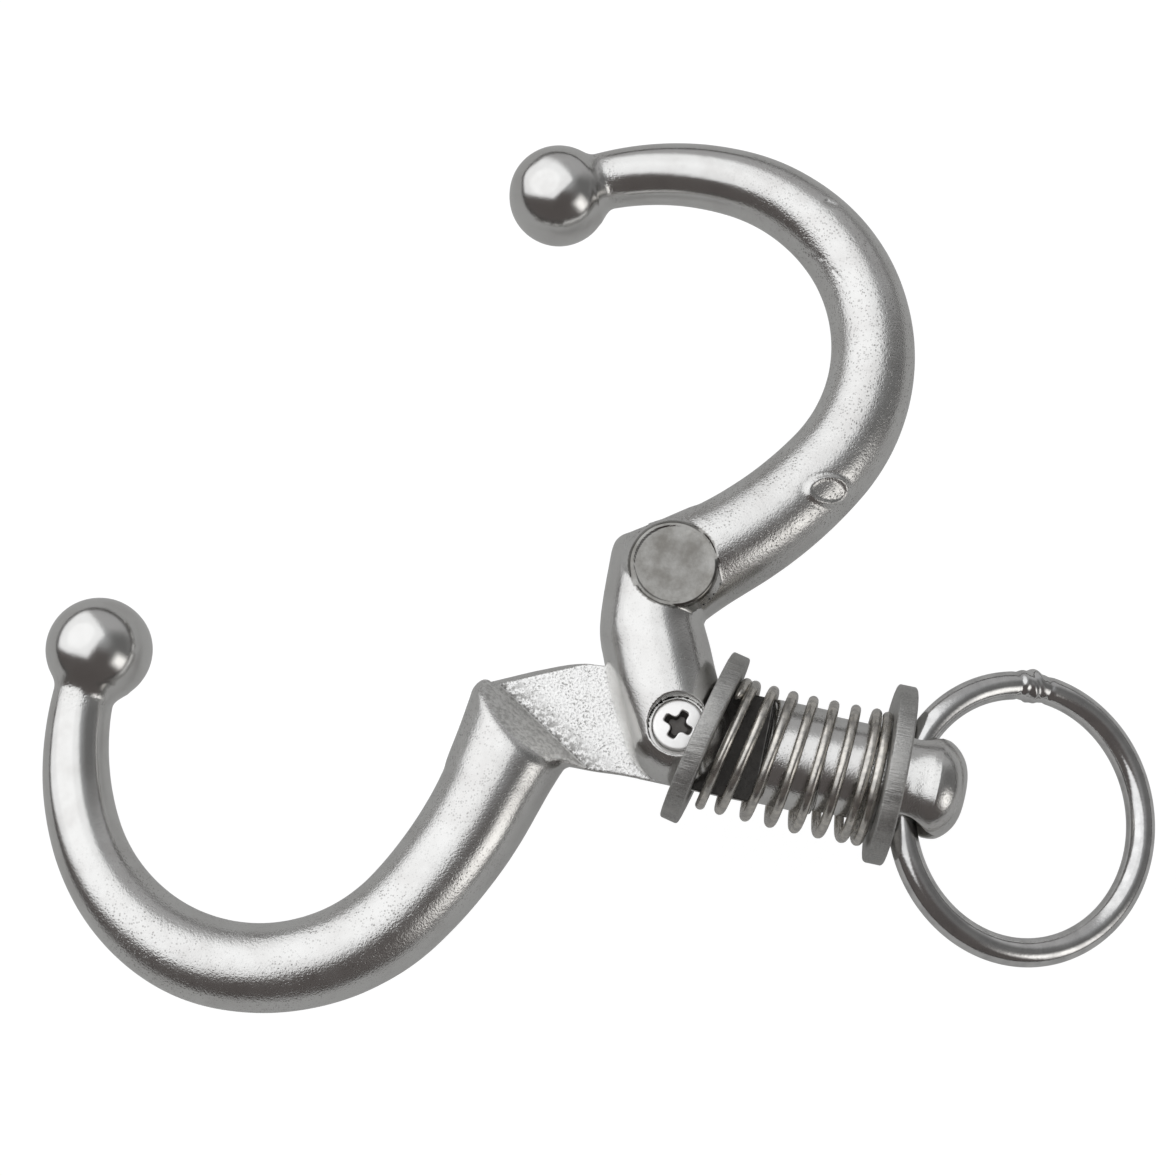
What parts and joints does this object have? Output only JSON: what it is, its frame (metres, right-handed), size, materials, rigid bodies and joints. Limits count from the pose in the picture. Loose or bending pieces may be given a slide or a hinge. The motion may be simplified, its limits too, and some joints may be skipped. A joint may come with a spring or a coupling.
{
  "type": "two-hook spring clamp",
  "caption": "Spring-loaded clamp: opposed ball-tipped hooks hinge on a half-lap pivot and are locked by a sprung sliding collar, with a swinging lead ring through the shank's eye.",
  "frame": {"origin": "centre of the ring's eye, on the shank's axis", "axes": "+X along the shank from the hooks towards the ring, +Y from the shank towards the open hook, +Z along the pivot axis on the screw head's side"},
  "size_m": [0.1902, 0.1652, 0.0312],
  "materials": {
    "cast": "tumbled investment casting, bright satin with fine pits",
    "screw": "bright satin pan head",
    "washers": "dull matte grey with a fine grain",
    "spring": "drawn spring wire, semi-bright",
    "ring": "polished wire with one ground butt weld"
  },
  "bodies": {
    "shank": {"fixed_hook": "cast", "pivot_screw": "screw"},
    "open_hook": {"moving_hook": "cast"},
    "collar": {"lock_collar": "washers", "spring": "spring"},
    "washer": {"rear_washer": "washers"},
    "lead": {"ring": "ring"}
  },
  "joints": [
    {"name": "jaw_pivot", "type": "hinge", "parent": "shank", "child": "open_hook", "pos_m": [-0.0398, 0, 0], "axis": [0, 0, -1], "range_deg": [-55.3, 26]},
    {"name": "collar_slide", "type": "slide", "parent": "shank", "child": "collar", "axis": [1, 0, 0], "range_m": [-0.0073, 0.00345], "deforming": ["spring"]},
    {"name": "washer_spin", "type": "hinge", "parent": "shank", "child": "washer", "pos_m": [-0.00401, 0.0004, 0], "axis": [1, 0, 0], "continuous": true},
    {"name": "ring_swing", "type": "hinge", "parent": "shank", "child": "lead", "pos_m": [0, 0, 0], "axis": [0, 1, 0], "range_deg": [-108.7, 71.3]}
  ],
  "couplings": [
    {"joint": "collar_slide", "follows": "jaw_pivot", "m_per_rad": 0.007534}
  ]
}
